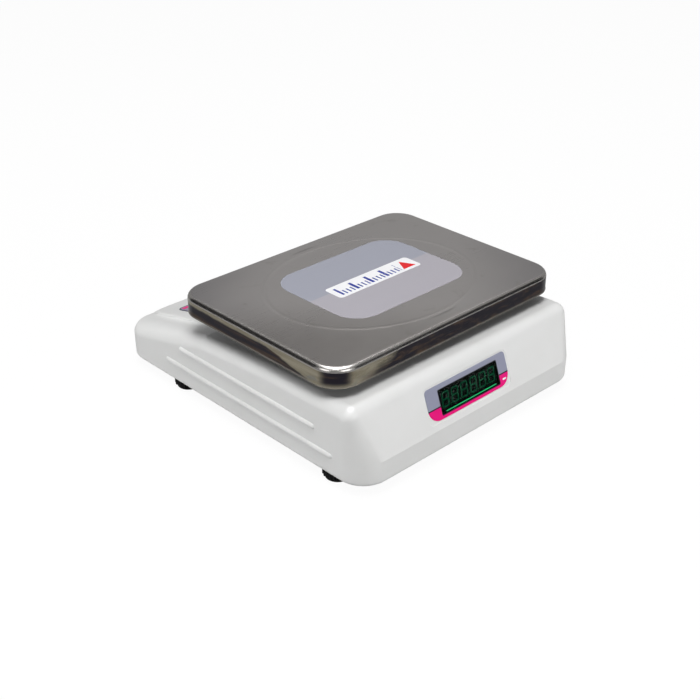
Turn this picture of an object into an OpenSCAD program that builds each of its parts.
// Table-top retail scale with two displays: a low wedge-shaped housing, a stainless
// pan on a load cell, a sloping key panel for the seller and a second display for the
// buyer. Millimetres. X runs across the scale, -Y is the seller's side, +Y the buyer's,
// +Z is up. The origin is on the table, under the middle of the scale.

/* [Housing] */
// Width of the housing across the scale
body_w = 300; // [290:1:310]
// Depth of the housing, seller's end to buyer's end
body_d = 354; // [350:1:360]
// Height of the flat top under the pan
body_top = 85; // [83:1:88]
// Height of the underside above the table
base_z = 10; // [10:0.5:12]
// Wall thickness of the moulded housing
wall = 2.5; // [2:0.1:3]
// Lean of the buyer's display face, degrees from upright
face_tilt = 20; // [16:1:22]

/* [Pan] */
// Pan size across the scale
pan_w = 300; // [290:1:305]
// Pan size, seller's edge to buyer's edge
pan_d = 221; // [210:1:225]
// Height of the pan's top face above the table
pan_top = 115; // [114:0.5:117]
// Depth of the pan's turned-down rim
pan_rim = 19.6; // [16:0.2:20]
// Sheet thickness of the pan
pan_sheet = 1; // [0.8:0.1:1.2]
// Distance of the pan's centre behind the middle of the housing
pan_y = 33; // [30:1:34]

/* [Displays and keys] */
// Width of each display window
window_w = 79; // [78:1:82]
// Height of each display window
window_h = 23; // [22:0.5:24]
// Spacing of the seven-segment digits
digit_pitch = 12.6; // [12.4:0.1:12.7]
// Height of one lit character
digit_h = 14.2; // [13:0.1:14.4]
// Spacing of the keys along the panel
key_pitch = 31; // [29:0.5:32]
// Press depth of a key
key_travel = 1; // [0.6:0.1:1]

/* [Levelling feet] */
// Radius of the hand-turned foot disc
foot_r = 14; // [12:0.5:14]
// Radius of the threaded stud
stud_r = 4; // [3.8:0.1:4]

/* [Hidden] */
$fn = 48;
eps = 0.01;

half_w = body_w / 2;
half_d = body_d / 2;

// Housing outline
corner_r = 28;        // upright corners, seen from above
bottom_round = 5;     // rounding of the lower edge
crease_z = 34;        // where the buyer's face starts to lean back
front_top = 45.5;     // height of the seller's edge
front_round = 10;     // rounding of the seller's edge
shell_fn = 44;        // facets of a full turn on the rounded edges of the moulding
shoulder_r = 12;      // rounding between side walls and top
shoulder_mid = [[-45, 75], [45, 82]];  // [y, height] of the top along the sides
face_reach = half_d * cos(face_tilt) + crease_z * sin(face_tilt);
ridge_z = body_top - shoulder_r;
ridge_y = (face_reach - shoulder_r - ridge_z * sin(face_tilt)) / cos(face_tilt);

// Slope of the seller's panel: the common tangent of the front rounding and the shoulder
front_c = [front_round - half_d, front_top - front_round];
mid_c = [shoulder_mid[0][0], shoulder_mid[0][1] - shoulder_r];
slope_run = mid_c - front_c;
slope = atan2(slope_run[1], slope_run[0]) + asin((shoulder_r - front_round) / norm(slope_run));
slope_reach = -sin(slope) * front_c[0] + cos(slope) * front_c[1] + front_round;

// Raised key panel
panel_rise = 3;
panel_w = 240;
panel_front = -169;
panel_back = -64;
panel_r = 16;
panel_edge = 3;
panel_y = -115;
panel_z = (slope_reach + panel_rise + sin(slope) * panel_y) / cos(slope);
panel_under = -(wall + panel_rise);  // inner face of the wall, measured from the panel's face

// Side ribs: [height, front end, back end]
ribs = [[52, -76, 114], [31.5, -100, 136]];
rib_r = 1.8;
rib_proud = 1.3;

// Base plate and the bosses it is screwed to
plate_t = 2;
plate_top = base_z + plate_t;
plate_lip = 5.5;      // housing's turned-in lower edge
plate_gap = 0.3;
boss_r = 5;
boss_hole_r = 1.6;
boss_hole_h = 16;
bosses = [[-122, -146], [122, -146], [-136, 20], [136, 20], [-118, 146], [118, 146]];

// Overlays and windows
film = 0.4;
recess = 0.5;
buyer_film = [109, 32];
buyer_film_at = [-7.5, 23.9];
buyer_window_at = [-6, 23.05];
seller_film = [210, 60];
seller_window_at = [0, 12.5];
pane_t = 2;
pane_gap = 0.25;
digits = 6;
digit_deep = 5.2;     // display faces below the outer surface on the buyer's side
module_size = [12.3, 19, 8];
board_t = 1.6;

// Keys
key_count = 6;
key_size = [22, 12];
key_v = -16.5;
key_gap = 0.4;
key_proud = 1.6;
key_flange = 1;

// Spirit level
level_at = [-92, -99];
level_r = 9;
level_top = 64.5;

// Load cell
cell = [130, 30, 22];
cell_z = 34;
cell_hole_r = 8;
cell_bolt_x = [45, 60];
bolt_r = 3;
block_w = 36;

// Pan support
support_z = 104;
support_t = 3;
rail_w = 24;
rail_x = 115;
rail_y = 75;
pad_x = 104;
pad_r = 9;
column_hole_r = 34;
column_x = 52;
ring_a = 110;         // raised ring pressed in the pan, half lengths
ring_b = 91;
pan_r = 27;
pan_edge = 5;
label = [160, 120];
label_at = [-6, pan_y - 3.5];
label_t = 0.15;
label_r = 27;

// Boards and battery
battery = [101, 70, 47];
battery_at = [-118, -68];
board = [96, 62];
board_at = [20, -70];
standoff_h = 8;
plug_h = 8;
plug_top = plate_top + standoff_h + board_t + plug_h + 0.2;

// Switch and socket in the side wall
switch_y = -116;
switch_z = 24;
switch_size = [21, 15];
rocker_size = [16.6, 10.8];
rocker_lean = 9;
rocker_deep = 4;
axle_r = 1.2;
axle_w = 12.4;        // the rocker's axle reaches into a bore in each side of its frame
socket_y = -139;

// Feet: [x, y]
feet = [[-134, -90], [134, -90], [134, 129], [-134, 129]];
foot_pad_h = 3;
foot_disc_h = 6;
stud_top = 32;
stud_play = 0.06;
knurls = 36;

// ---------- shapes used more than once ----------

module rounded_rect(w, d, r) {
    square([w - 2 * r, d], center = true);
    square([w, d - 2 * r], center = true);
    for (sx = [-1, 1], sy = [-1, 1])
        translate([sx * (w / 2 - r), sy * (d / 2 - r)])
            circle(r);
}

// Rounded plate standing on z = 0
module plate(w, d, h, r) {
    linear_extrude(h)
        rounded_rect(w, d, r);
}

// Round cable swept through a list of points: an eight-sided ring at each point, square
// to the mean of the two directions that meet there
module cable(points, r) {
    n = len(points);
    sides = 8;
    rings = [for (i = [0:n - 1])
        let (ahead = unit(points[min(i + 1, n - 1)] - points[min(i, n - 2)]),
            behind = unit(points[max(i, 1)] - points[max(i - 1, 0)]),
            along = unit(ahead + behind),
            across = unit(cross(along, [0.2, 0.1, 1])),
            up = cross(across, along))
            for (k = [0:sides - 1])
                points[i] + r * (cos(k * 360 / sides) * across + sin(k * 360 / sides) * up)];
    walls = [for (i = [0:n - 2], k = [0:sides - 1])
        [i * sides + k, i * sides + (k + 1) % sides, (i + 1) * sides + (k + 1) % sides, (i + 1) * sides + k]];
    first = [for (k = [sides - 1:-1:0]) k];
    last = [for (k = [0:sides - 1]) (n - 1) * sides + k];
    polyhedron(rings, concat([first], walls, [last]), convexity = 6);
}

// Cap screw with its shank downwards and the underside of its head at z = 0
module cap_screw(r, length, head_r, head_h) {
    difference() {
        union() {
            cylinder(r = head_r, h = head_h);
            translate([0, 0, -length])
                cylinder(r = r, h = length + eps);
        }
        translate([0, 0, head_h * 0.45])
            cylinder(r = r * 0.9, h = head_h, $fn = 6);
    }
}

// Cross-head screw with a domed head, same datum
module pan_screw(r, length, head_r, head_h) {
    difference() {
        union() {
            cylinder(r = head_r, h = head_h);
            translate([0, 0, -length])
                cylinder(r = r, h = length + eps);
        }
        for (a = [0, 90])
            rotate([0, 0, a])
                translate([-head_r * 0.6, -0.4, head_h * 0.4])
                    cube([head_r * 1.2, 0.8, head_h]);
    }
}

// Buyer's display face: x to the reader's right, y up the face, z outwards
module on_buyer_face() {
    translate([0, half_d, crease_z])
        rotate([90 - face_tilt, 0, 180])
            children();
}

// Seller's key panel: x to the right, y up the slope, z outwards
module on_seller_panel() {
    translate([0, panel_y, panel_z])
        rotate([slope, 0, 0])
            children();
}

// ---------- housing ----------

// Convex body of the housing, every face moved in by t
module housing_body(t) {
    hull()
        for (sx = [-1, 1]) {
            for (y = [corner_r - half_d, half_d - corner_r])
                translate([sx * (half_w - corner_r), y, base_z + bottom_round]) {
                    rotate_extrude($fn = shell_fn)
                        translate([corner_r - bottom_round, 0])
                            circle(bottom_round - t, $fn = 20);
                    cylinder(r = corner_r - t, h = crease_z - base_z - bottom_round, $fn = shell_fn);
                }
            translate([sx * (half_w - corner_r), corner_r - half_d, front_top - front_round])
                rotate_extrude($fn = shell_fn)
                    translate([corner_r - front_round, 0])
                        circle(front_round - t, $fn = 28);
            for (p = [shoulder_mid[0], shoulder_mid[1], [ridge_y, body_top]])
                translate([sx * (half_w - shoulder_r), p[0], p[1] - shoulder_r])
                    sphere(shoulder_r - t, $fn = shell_fn);
        }
}

// Raised panel with rounded edges on the slope
module key_panel() {
    length = (panel_back - panel_front) / cos(slope);
    middle = ((panel_back + panel_front) / 2 - panel_y) / cos(slope);
    on_seller_panel()
        translate([0, middle, 0])
            hull()
                for (sx = [-1, 1], sy = [-1, 1])
                    translate([sx * (panel_w / 2 - panel_r), sy * (length / 2 - panel_r), 0]) {
                        translate([0, 0, -panel_edge])
                            rotate_extrude($fn = 32)
                                translate([panel_r - panel_edge, 0])
                                    circle(panel_edge, $fn = 16);
                        translate([0, 0, -panel_rise - wall + 0.5])
                            cylinder(r = panel_r, h = 1, $fn = 32);
                    }
}

module side_ribs() {
    for (sx = [-1, 1], rib = ribs)
        translate([sx * (half_w + rib_proud - rib_r), rib[1], rib[0]])
            rotate([-90, 0, 0]) {
                cylinder(r = rib_r, h = rib[2] - rib[1], $fn = 24);
                sphere(rib_r, $fn = 24);
                translate([0, 0, rib[2] - rib[1]])
                    sphere(rib_r, $fn = 24);
            }
}

// Screw bosses hang from the inside of the top, so they are cut to the housing's body
module boss_posts() {
    intersection() {
        housing_body(wall / 2);
        for (p = bosses)
            translate([p[0], p[1], plate_top])
                cylinder(r = boss_r, h = body_top);
    }
}

module key_holes() {
    for (i = [0:key_count - 1])
        translate([key_x(i), key_v, panel_under - 4])
            plate(key_size[0] + 2 * key_gap, key_size[1] + 2 * key_gap, 10, 2.5);
}

module top_housing() {
    color([0.93, 0.93, 0.93])
        difference() {
            union() {
                difference() {
                    union() {
                        housing_body(0);
                        key_panel();
                        side_ribs();
                    }
                    housing_body(wall);
                    translate([0, 0, base_z - 1])
                        plate(body_w - 2 * plate_lip, body_d - 2 * plate_lip, wall + 2, corner_r - plate_lip);
                }
                boss_posts();
                translate([column_x, pan_y, body_top - wall])
                    cylinder(r = column_hole_r + 3, h = wall + 4);
            }
            for (p = bosses)
                translate([p[0], p[1], plate_top - 1])
                    cylinder(r = boss_hole_r, h = boss_hole_h + 1);
            translate([column_x, pan_y, body_top - 12])
                cylinder(r = column_hole_r, h = 24);
            on_buyer_face() {
                translate([buyer_film_at[0], buyer_film_at[1], -recess])
                    plate(buyer_film[0] + 3, buyer_film[1] + 3, 5, 5);
                translate([buyer_window_at[0], buyer_window_at[1], -10])
                    plate(window_w, window_h, 12, 1);
            }
            on_seller_panel() {
                translate([seller_window_at[0], seller_window_at[1], panel_under - 4])
                    plate(window_w, window_h, 10, 1);
                key_holes();
            }
            translate([level_at[0], level_at[1], 40])
                cylinder(r = level_r + plate_gap, h = 40);
            translate([-half_w - 1, switch_y - switch_size[0] / 2 - 0.2, switch_z - switch_size[1] / 2 - 0.2])
                cube([2.5, switch_size[0] + 0.4, switch_size[1] + 0.4]);
            translate([-half_w - 1, switch_y - 9.6, switch_z - 6.6])
                cube([8, 19.2, 13.2]);
            translate([-half_w - 1, socket_y, switch_z])
                rotate([0, 90, 0])
                    cylinder(r = 4.3, h = 8);
        }
}

module base_plate() {
    color([0.35, 0.36, 0.37])
        difference() {
            translate([0, 0, base_z])
                plate(body_w - 2 * (plate_lip + plate_gap), body_d - 2 * (plate_lip + plate_gap), plate_t,
                    corner_r - plate_lip - plate_gap);
            for (p = bosses)
                translate([p[0], p[1], base_z - 1])
                    cylinder(r = 2.2, h = 4);
            for (p = feet)
                translate([p[0], p[1], base_z - 1])
                    cylinder(r = 7.05, h = 4);
            for (x = cell_bolt_x)
                translate([-x, pan_y, base_z - 1])
                    cylinder(r = bolt_r + 0.3, h = 4);
            translate([column_x, pan_y, base_z - 1])
                cylinder(r = 4.05, h = 4);
            for (a = [0:4], b = [0:2])
                translate([20 + a * 12, 100 + b * 8, base_z - 1])
                    cylinder(r = 2, h = 4);
        }
}

module housing_screws() {
    color([0.6, 0.6, 0.62])
        for (p = bosses)
            translate([p[0], p[1], base_z])
                rotate([180, 0, 0])
                    pan_screw(1.55, 14, 3.6, 2);
}

// ---------- displays ----------

// Film with rounder lower corners
module buyer_overlay() {
    color([0.6, 0.6, 0.66])
        on_buyer_face()
            translate([buyer_film_at[0], buyer_film_at[1], -recess])
                linear_extrude(film)
                    difference() {
                        union() {
                            translate([0, 4])
                                rounded_rect(buyer_film[0], buyer_film[1] - 8, 4);
                            rounded_rect(buyer_film[0], buyer_film[1], 12);
                        }
                        translate([buyer_window_at[0] - buyer_film_at[0], buyer_window_at[1] - buyer_film_at[1]])
                            rounded_rect(window_w, window_h, 1);
                    }
}

module seller_overlay() {
    color([0.6, 0.6, 0.66])
        difference() {
            on_seller_panel()
                linear_extrude(film)
                    difference() {
                        rounded_rect(seller_film[0], seller_film[1], 7);
                        translate(seller_window_at)
                            rounded_rect(window_w, window_h, 1);
                        for (i = [0:key_count - 1])
                            translate([key_x(i), key_v])
                                rounded_rect(key_size[0] + 2 * key_gap, key_size[1] + 2 * key_gap, 2.5);
                    }
            translate([level_at[0], level_at[1], 40])
                cylinder(r = level_r + plate_gap, h = 40);
        }
}

module window_pane() {
    color([0.06, 0.08, 0.07])
        plate(window_w - 2 * pane_gap, window_h - 2 * pane_gap, pane_t, 0.9);
}

module buyer_window() {
    on_buyer_face()
        translate([buyer_window_at[0], buyer_window_at[1], film - recess - pane_t])
            window_pane();
}

module seller_window() {
    on_seller_panel()
        translate([seller_window_at[0], seller_window_at[1], film - pane_t])
            window_pane();
}

// Display board with its row of digit modules, front faces of the modules at z = 0
module display_board() {
    color([0.1, 0.3, 0.16])
        translate([0, 0, -module_size[2] - board_t])
            difference() {
                plate(window_w + 14, window_h + 6, board_t, 1);
                for (sx = [-1, 1])
                    translate([sx * (window_w / 2 + 3.5), 0, -1])
                        cylinder(r = 1.6, h = 4);
            }
}

module digit_modules() {
    color([0.09, 0.1, 0.1])
        for (i = [0:digits - 1])
            translate([digit_x(i), 0, -module_size[2] / 2])
                cube([module_size[0], module_size[1], module_size[2]], center = true);
}

// Seven bars and a point per digit, leaning 8 degrees, 0.2 proud of the module
module digit_segments() {
    bar = 1.7;
    w = digit_h * 0.56;
    gap = 0.25;
    color([0.05, 0.25, 0.1])
        for (i = [0:digits - 1])
            translate([digit_x(i), 0, 0]) {
                for (row = [-1, 0, 1])
                    segment([0, row * (digit_h - bar) / 2], w - 2 * gap, bar, false);
                for (sx = [-1, 1], sy = [-1, 1])
                    segment([sx * w / 2, sy * (digit_h - bar) / 4], (digit_h - bar) / 2 - 2 * gap, bar, true);
                translate([w / 2 + 1.3, -digit_h / 2 + 0.7, 0])
                    cylinder(r = 0.7, h = 0.2, $fn = 16);
            }
}

// One bar with pointed ends, sheared to the lean of the characters
module segment(at, length, bar, upright) {
    half = length / 2;
    nose = bar / 2;
    along = [[-half, 0], [-half + nose, nose], [half - nose, nose], [half, 0], [half - nose, -nose],
        [-half + nose, -nose]];
    turned = upright ? [for (p = along) [p[1], p[0]]] : along;
    linear_extrude(0.2)
        polygon([for (p = turned) [at[0] + p[0] + (at[1] + p[1]) * tan(8), at[1] + p[1]]]);
}

module at_buyer_digits() {
    on_buyer_face()
        translate([buyer_window_at[0], buyer_window_at[1], -digit_deep])
            children();
}

module at_seller_digits() {
    on_seller_panel()
        translate([seller_window_at[0], seller_window_at[1], panel_under - 0.5])
            children();
}

// ---------- keys ----------

module key_cap() {
    color([0.86, 0.87, 0.9])
        on_seller_panel() {
            translate([0, key_v, panel_under - 1])
                plate(key_size[0], key_size[1], key_proud - panel_under + 1, 2.1);
            translate([0, key_v, panel_under - 0.5 - key_flange])
                plate(key_size[0] + 2.4, key_size[1] + 2.4, key_flange, 2.5);
        }
}

module key_at(i) {
    translate([key_x(i), 0, 0])
        key_cap();
}

module keypad_board() {
    color([0.1, 0.3, 0.16])
        on_seller_panel()
            translate([0, key_v, panel_under - 8.7])
                plate(key_pitch * key_count + 8, 20, board_t, 1);
}

module key_switches() {
    top = panel_under - 0.5 - key_flange - key_travel - 0.15;
    floor_z = panel_under - 8.7 + board_t;
    color([0.15, 0.15, 0.15])
        on_seller_panel()
            for (i = [0:key_count - 1])
                translate([key_x(i), key_v, floor_z]) {
                    translate([-3, -3, 0])
                        cube([6, 6, 3.4]);
                    cylinder(r = 1.7, h = top - floor_z, $fn = 24);
                }
}

// ---------- electronics and battery ----------

module main_board() {
    color([0.1, 0.3, 0.16])
        translate([board_at[0], board_at[1], plate_top + standoff_h])
            difference() {
                cube([board[0], board[1], board_t]);
                for (x = [5, board[0] - 5], y = [5, board[1] - 5])
                    translate([x, y, -1])
                        cylinder(r = 1.7, h = 4);
            }
}

module board_standoffs() {
    color([0.85, 0.85, 0.8])
        for (x = [5, board[0] - 5], y = [5, board[1] - 5])
            translate([board_at[0] + x, board_at[1] + y, plate_top])
                difference() {
                    cylinder(r = 3.2, h = standoff_h, $fn = 6);
                    translate([0, 0, 1])
                        cylinder(r = 1.45, h = standoff_h);
                }
}

module board_screws() {
    color([0.7, 0.7, 0.72])
        for (x = [5, board[0] - 5], y = [5, board[1] - 5])
            translate([board_at[0] + x, board_at[1] + y, plate_top + standoff_h + board_t])
                pan_screw(1.4, 6, 2.8, 1.6);
}

module main_board_parts() {
    z = plate_top + standoff_h + board_t;
    // [x, y, width, depth, height] of the chips and connectors
    chips = [[36, 24, 14, 14, 1.8], [60, 34, 10, 7, 1.6], [62, 14, 12, 8, 2.2], [20, 40, 9, 6, 1.6],
        [14, 52, 22, 6, plug_h], [46, 52, 16, 6, plug_h], [70, 52, 12, 6, plug_h], [84, 22, 8, 14, 9],
        [1, 22, 9, 12, plug_h]];
    color([0.12, 0.12, 0.13])
        translate([board_at[0], board_at[1], z]) {
            for (c = chips)
                translate([c[0], c[1], 0])
                    cube([c[2], c[3], c[4]]);
            for (x = [16, 26])
                translate([x, 16, 0])
                    cylinder(r = 4, h = 12, $fn = 32);
            translate([56, 26, 0])
                cylinder(r = 2.2, h = 3.6, $fn = 24);
        }
}

module buzzer() {
    color([0.08, 0.08, 0.08])
        translate([board_at[0] + 84, board_at[1] + 11, plate_top + standoff_h + board_t])
            difference() {
                cylinder(r = 6, h = 8);
                translate([0, 0, 6])
                    cylinder(r = 1.2, h = 4, $fn = 20);
            }
}

module battery_body() {
    color([0.2, 0.21, 0.23])
        translate([battery_at[0], battery_at[1], plate_top])
            cube(battery);
}

module battery_terminals() {
    color([0.8, 0.66, 0.3])
        for (y = [12, battery[1] - 17])
            translate([battery_at[0] + battery[0], battery_at[1] + y, plate_top + battery[2] - 9])
                cube([6.3, 4.8, 0.8]);
}

// Sheet strap over the battery, with feet screwed to the base plate
module battery_strap() {
    top = plate_top + battery[2];
    sheet = 1.2;
    color([0.7, 0.71, 0.72])
        translate([battery_at[0] + battery[0] / 2 - 10, battery_at[1], 0])
            difference() {
                union() {
                    translate([0, -sheet, top])
                        cube([20, battery[1] + 2 * sheet, sheet]);
                    for (y = [-sheet, battery[1]])
                        translate([0, y, plate_top])
                            cube([20, sheet, top - plate_top + sheet]);
                    for (y = [-13, battery[1]])
                        translate([0, y, plate_top])
                            cube([20, 13, sheet]);
                }
                for (y = [-7, battery[1] + 7])
                    translate([10, y, plate_top - 1])
                        cylinder(r = 2.2, h = 4);
            }
}

module strap_screws() {
    color([0.6, 0.6, 0.62])
        for (y = [-7, battery[1] + 7])
            translate([battery_at[0] + battery[0] / 2, battery_at[1] + y, plate_top + 1.2])
                pan_screw(2, 1.2, 3.8, 2);
}

// ---------- load cell and pan ----------

module load_cell() {
    color([0.78, 0.79, 0.8])
        translate([0, pan_y, cell_z])
            difference() {
                translate([-cell[0] / 2, -cell[1] / 2, 0])
                    cube(cell);
                for (sx = [-1, 1])
                    translate([sx * 12, 0, cell[2] / 2])
                        rotate([90, 0, 0])
                            cylinder(r = cell_hole_r, h = cell[1] + 2, center = true);
                translate([0, 0, cell[2] / 2])
                    cube([24, cell[1] + 2, 7], center = true);
                for (sx = [-1, 1], x = cell_bolt_x)
                    translate([sx * x, 0, sx > 0 ? cell[2] - 14 : -1])
                        cylinder(r = bolt_r + 0.05, h = 15);
            }
}

// Strain gauges under their white sealant, on the two thin sections
module load_cell_gauges() {
    color([0.9, 0.9, 0.88])
        for (sx = [-1, 1])
            translate([sx * 12, pan_y, cell_z + cell[2]])
                plate(14, 18, 1.4, 3);
}

module load_cell_block() {
    color([0.6, 0.61, 0.62])
        difference() {
            translate([-cell[0] / 2, pan_y - cell[1] / 2, plate_top])
                cube([block_w, cell[1], cell_z - plate_top]);
            for (x = cell_bolt_x)
                translate([-x, pan_y, plate_top - 1])
                    cylinder(r = bolt_r + 0.3, h = cell_z);
        }
}

module load_cell_bolts() {
    color([0.55, 0.55, 0.57])
        for (x = cell_bolt_x)
            translate([-x, pan_y, base_z])
                rotate([180, 0, 0])
                    cap_screw(bolt_r, cell_z - base_z + 12, 5, 4);
}

// Stop screw under the free end of the load cell, with its nut
module overload_stop() {
    color([0.6, 0.6, 0.62])
        translate([column_x, pan_y, 0]) {
            translate([0, 0, base_z - 2])
                cylinder(r = 4, h = cell_z - base_z + 1.4);
            translate([0, 0, plate_top])
                difference() {
                    cylinder(r = 7.5, h = 5, $fn = 6);
                    translate([0, 0, -1])
                        cylinder(r = 3.9, h = 7);
                }
        }
}

module support_block() {
    color([0.78, 0.79, 0.8])
        difference() {
            translate([cell[0] / 2 - block_w, pan_y - cell[1] / 2, cell_z + cell[2]])
                cube([block_w, cell[1], support_z - cell_z - cell[2]]);
            for (x = cell_bolt_x)
                translate([x, pan_y, cell_z])
                    cylinder(r = bolt_r + 0.3, h = support_z);
        }
}

module pan_support() {
    color([0.62, 0.63, 0.65])
        difference() {
            translate([0, pan_y, support_z]) {
                for (sy = [-1, 1]) {
                    translate([-rail_x, sy * rail_y - rail_w / 2, 0])
                        cube([2 * rail_x, rail_w, support_t]);
                    for (edge = [-1, 1])
                        translate([-rail_x, sy * rail_y + edge * (rail_w / 2 - 1) - 1, -6])
                            cube([2 * rail_x, 2, 6 + eps]);
                }
                translate([column_x - 30, -rail_y, 0])
                    cube([60, 2 * rail_y, support_t]);
                translate([-rail_x + 30, -rail_y, 0])
                    cube([30, 2 * rail_y, support_t]);
                for (x = [column_x - 30, column_x + 28])
                    translate([x, -rail_y + rail_w / 2 - 1, -5])
                        cube([2, 2 * rail_y - rail_w + 2, 5 + eps]);
            }
            for (x = cell_bolt_x)
                translate([x, pan_y, support_z - 1])
                    cylinder(r = bolt_r + 0.3, h = support_t + 2);
            for (sx = [-1, 1], sy = [-1, 1])
                translate([sx * pad_x, pan_y + sy * rail_y, support_z - 1])
                    cylinder(r = 3.05, h = support_t + 2);
        }
}

module support_bolts() {
    color([0.55, 0.55, 0.57])
        for (x = cell_bolt_x)
            translate([x, pan_y, support_z + support_t])
                cap_screw(bolt_r, support_t + support_z - cell_z - cell[2] + 12, 5, 5);
}

module pan_pads() {
    pad_h = pan_top - pan_sheet - support_z - support_t;
    color([0.1, 0.1, 0.1])
        for (sx = [-1, 1], sy = [-1, 1])
            translate([sx * pad_x, pan_y + sy * rail_y, support_z + support_t]) {
                cylinder(r = pad_r, h = pad_h);
                translate([0, 0, -support_t - 2])
                    cylinder(r = 3, h = support_t + 2 + eps);
                translate([0, 0, -support_t - 3])
                    cylinder(r = 4.5, h = 2.8);
            }
}

// Solid tray form, every face moved in by t, open downwards
module pan_form(t) {
    translate([0, pan_y, pan_top - pan_rim])
        hull()
            for (sx = [-1, 1], sy = [-1, 1])
                translate([sx * (pan_w / 2 - pan_r), sy * (pan_d / 2 - pan_r), 0]) {
                    translate([0, 0, t > 0 ? -1 : 0])
                        cylinder(r = pan_r - t, h = 2, $fn = 64);
                    translate([0, 0, pan_rim - pan_edge])
                        rotate_extrude($fn = 64)
                            translate([pan_r - pan_edge, 0])
                                circle(pan_edge - t, $fn = 24);
                }
}

// Raised oval ring pressed in the pan's top
module pan_ring() {
    bead = 1.2;
    translate([0, pan_y, pan_top - eps])
        linear_extrude(0.4)
            difference() {
                polygon([for (a = [0:6:354]) [ring_a * cos(a), ring_b * sin(a)]]);
                polygon([for (a = [0:6:354]) [(ring_a - bead) * cos(a), (ring_b - bead) * sin(a)]]);
            }
}

module pan() {
    color([0.55, 0.53, 0.51])
        union() {
            difference() {
                pan_form(0);
                pan_form(pan_sheet);
            }
            pan_ring();
        }
}

module pan_label() {
    color([0.62, 0.62, 0.66])
        translate([label_at[0], label_at[1], pan_top])
            plate(label[0], label[1], label_t, label_r);
}

// ---------- switch, socket and level ----------

// Side-wall frame: x along the wall, y up, z out of the wall
module on_side_wall(y, z) {
    translate([-half_w, y, z])
        rotate([90, 0, -90])
            children();
}

module switch_frame() {
    color([0.06, 0.06, 0.06])
        on_side_wall(switch_y, switch_z)
            difference() {
                union() {
                    translate([-switch_size[0] / 2, -switch_size[1] / 2, -1.5])
                        cube([switch_size[0], switch_size[1], 1.5]);
                    translate([-9.5, -6.5, -15])
                        cube([19, 13, 15]);
                }
                translate([-rocker_size[0] / 2 - 0.5, -rocker_size[1] / 2 - 0.4, -rocker_deep - 6])
                    cube([rocker_size[0] + 1, rocker_size[1] + 0.8, 12]);
                translate([0, 0, -rocker_deep])
                    rotate([90, 0, 0])
                        cylinder(r = axle_r + 0.1, h = axle_w + 0.1, center = true);
            }
}

// Rocker resting in its off position, pressed in at one end
module power_rocker() {
    half = rocker_size[0] / 2;
    color([0.7, 0.05, 0.05])
        on_side_wall(switch_y, switch_z)
            translate([0, 0, -rocker_deep])
                rotate([0, rocker_lean, 0])
                    rotate([90, 0, 0]) {
                        cylinder(r = axle_r, h = axle_w, center = true);
                        linear_extrude(rocker_size[1], center = true)
                            polygon([[-half, -1], [-half, 2.6], [0, 1.3], [half, 2.6], [half, -1], [3, -4.5],
                                [-3, -4.5]]);
                    }
}

module power_socket() {
    color([0.08, 0.08, 0.08])
        on_side_wall(socket_y, switch_z) {
            difference() {
                union() {
                    cylinder(r = 5.6, h = 0.8);
                    translate([0, 0, -12])
                        cylinder(r = 4, h = 12.4);
                }
                translate([0, 0, -9])
                    cylinder(r = 2.8, h = 12);
            }
            translate([0, 0, -9.5])
                cylinder(r = 1, h = 8.5, $fn = 24);
        }
}

module level_cup() {
    color([0.08, 0.08, 0.08])
        translate([level_at[0], level_at[1], level_top - 9])
            difference() {
                cylinder(r = level_r, h = 9);
                translate([0, 0, 1.5])
                    cylinder(r = level_r - 1.5, h = 9);
            }
}

module level_vial() {
    color([0.65, 0.85, 0.35])
        translate([level_at[0], level_at[1], level_top - 7.5])
            difference() {
                cylinder(r = level_r - 1.6, h = 7);
                translate([0, 0, 5.2])
                    cylinder(r = 2.4, h = 1);
            }
}

module level_bubble() {
    color([0.9, 0.95, 0.8])
        translate([level_at[0], level_at[1], level_top - 2.3])
            cylinder(r = 2.4, h = 1);
}

// ---------- feet ----------

// Threaded inserts pressed into the base plate
module foot_inserts() {
    color([0.75, 0.62, 0.35])
        for (p = feet)
            translate([p[0], p[1], base_z])
                difference() {
                    union() {
                        cylinder(r = 7, h = 12);
                        translate([0, 0, plate_t])
                            cylinder(r = 9.5, h = 2);
                    }
                    translate([0, 0, -1])
                        cylinder(r = stud_r + stud_play, h = 14);
                }
}

module foot_pad(i) {
    color([0.12, 0.12, 0.12])
        translate([feet[i][0], feet[i][1], 0])
            cylinder(r = foot_r - 1.5, h = foot_pad_h);
}

// Knurled hand disc moulded on its stud
module foot_screw(i) {
    turn = 360 / knurls;
    color([0.12, 0.12, 0.12])
        translate([feet[i][0], feet[i][1], foot_pad_h]) {
            linear_extrude(foot_disc_h)
                polygon([for (k = [0:2 * knurls - 1])
                    (foot_r - (k % 2) * 0.7) * [cos(k * turn / 2), sin(k * turn / 2)]]);
            translate([0, 0, foot_disc_h - eps])
                cylinder(r = stud_r, h = stud_top - foot_pad_h - foot_disc_h);
        }
}

// ---------- plate and wiring ----------

module rating_plate() {
    color([0.75, 0.75, 0.72])
        translate([-70, -60, base_z - 0.3])
            plate(64, 40, 0.3, 2);
}

module load_cell_cable() {
    gauge_side = pan_y - cell[1] / 2 - 0.2;
    color([0.75, 0.76, 0.77])
        cable([[-20, gauge_side, 45], [-20, gauge_side - 4, 45], [-14, 9, 42], [4, -2, 36], [30, -8, 40],
            [44, -14, 40], [45, -15, 36], [45, -15, plug_top]], 1.6);
}

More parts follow.
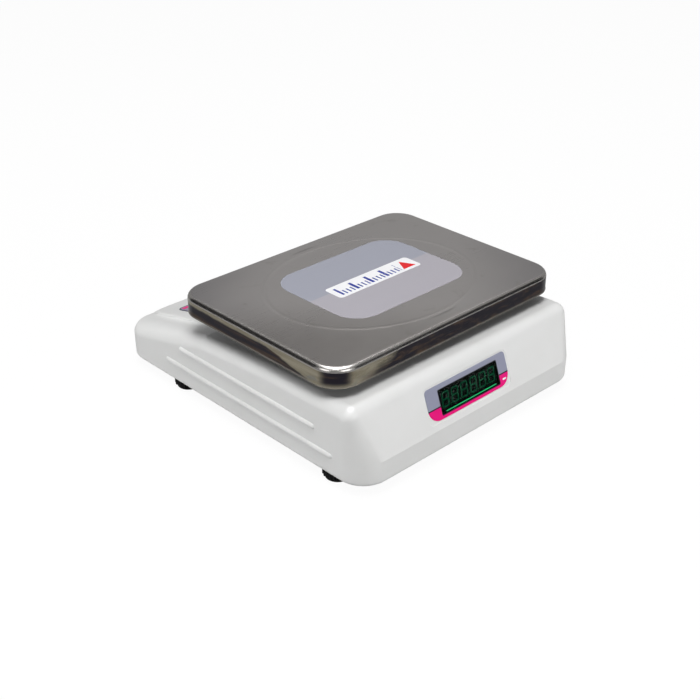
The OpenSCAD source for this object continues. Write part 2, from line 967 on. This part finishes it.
module display_cables() {
    color([0.6, 0.6, 0.58]) {
        cable([[74, -15, plug_top], [74, -15, 35], [80, -8, 38], [92, 4, 32], [96, 70, 20], [70, 120, 22],
            [30, 140, 32], [12, 149, 44]], 2);
        cable([[96, -15, plug_top], [96, -15, 35], [104, -19, 39], [116, -27, 32], [122, -40, 22],
            [121, -70, 20], [110, -90, 22], [88, -98, 27], [60, -99, 33], [40, -99, 45]], 2);
    }
}

module power_leads() {
    color([0.7, 0.1, 0.1]) {
        cable([[-134.5, switch_y, switch_z], [-130, switch_y, switch_z], [-120, -118, 21], [-100, -115, 20],
            [-40, -100, 20], [-8, -84, 20], [2, -60, 23], [8, -42, 26], [14, -39, 26], [20.8, -39, 26]], 1.3);
        cable([[-137.5, socket_y, switch_z], [-132, socket_y, switch_z], [-122, -134, 18], [-96, -127, 16],
            [-40, -112, 16], [0, -98, 16], [12, -80, 18], [13, -56, 24], [15, -46, 26], [20.8, -45, 26]], 1.3);
    }
}

function unit(v) = v / norm(v);
function key_x(i) = (i - (key_count - 1) / 2) * key_pitch;
function digit_x(i) = (i - (digits - 1) / 2) * digit_pitch;

top_housing();
base_plate();
housing_screws();
buyer_overlay();
buyer_window();
at_buyer_digits() display_board();  // buyer_display_board
at_buyer_digits() digit_modules();  // buyer_digit_modules
at_buyer_digits() digit_segments();  // buyer_digit_segments
seller_overlay();
seller_window();
at_seller_digits() display_board();  // seller_display_board
at_seller_digits() digit_modules();  // seller_digit_modules
at_seller_digits() digit_segments();  // seller_digit_segments
keypad_board();
key_switches();
key_at(0);  // zero_key
key_at(1);  // tare_key
key_at(2);  // mode_key
key_at(3);  // add_key
key_at(4);  // clear_key
key_at(5);  // print_key
main_board();
main_board_parts();
board_standoffs();
board_screws();
buzzer();
load_cell();
load_cell_block();
load_cell_bolts();
load_cell_gauges();
overload_stop();
support_block();
pan_support();
support_bolts();
pan_pads();
pan();
pan_label();
battery_body();  // battery
battery_terminals();
battery_strap();
strap_screws();
switch_frame();
power_rocker();
power_socket();
level_cup();
level_vial();
level_bubble();
foot_inserts();
foot_pad(0);  // foot_pad_1
foot_pad(1);  // foot_pad_2
foot_pad(2);  // foot_pad_3
foot_pad(3);  // foot_pad_4
foot_screw(0);  // foot_screw_1
foot_screw(1);  // foot_screw_2
foot_screw(2);  // foot_screw_3
foot_screw(3);  // foot_screw_4
rating_plate();
load_cell_cable();
display_cables();
power_leads();
